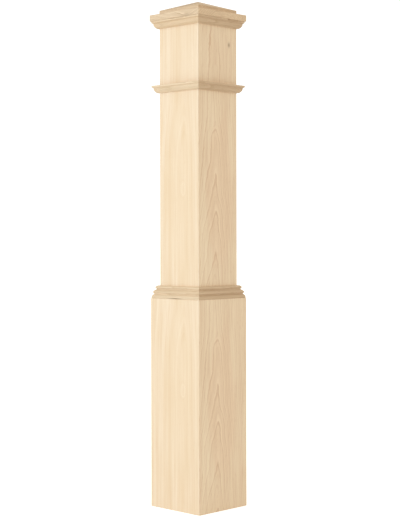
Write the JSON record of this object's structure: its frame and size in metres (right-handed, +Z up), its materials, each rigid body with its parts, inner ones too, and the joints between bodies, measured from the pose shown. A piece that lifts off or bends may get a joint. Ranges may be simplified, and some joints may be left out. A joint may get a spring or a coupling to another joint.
{
  "type": "newel post",
  "caption": "Square box newel post for a stair: hollow mitred shaft, wider sleeve at its foot, stepped and lipped mouldings, slab cap with a low pyramid.",
  "frame": {"origin": "centre of the underside, on the floor", "axes": "+Z up the post, +X and +Y square to its faces, the front faces -Y"},
  "size_m": [0.192, 0.192, 1.4175],
  "materials": {
    "shaft_wood": "bare, planed and sanded pale maple",
    "sleeve_wood": "bare, planed and sanded pale maple",
    "moulding_wood": "bare milled maple, a shade darker",
    "cap_wood": "bare milled maple, a shade darker"
  },
  "bodies": {
    "root": {"shaft_board_front": "shaft_wood", "shaft_board_right": "shaft_wood", "shaft_board_back": "shaft_wood", "shaft_board_left": "shaft_wood", "sleeve_board_front": "sleeve_wood", "sleeve_board_right": "sleeve_wood", "sleeve_board_back": "sleeve_wood", "sleeve_board_left": "sleeve_wood", "step_moulding_front": "moulding_wood", "step_moulding_right": "moulding_wood", "step_moulding_back": "moulding_wood", "step_moulding_left": "moulding_wood", "neck_moulding_front": "moulding_wood", "neck_moulding_right": "moulding_wood", "neck_moulding_back": "moulding_wood", "neck_moulding_left": "moulding_wood", "bed_moulding_front": "moulding_wood", "bed_moulding_right": "moulding_wood", "bed_moulding_back": "moulding_wood", "bed_moulding_left": "moulding_wood", "cap_slab": "cap_wood", "cap_top": "cap_wood"}
  },
  "joints": []
}
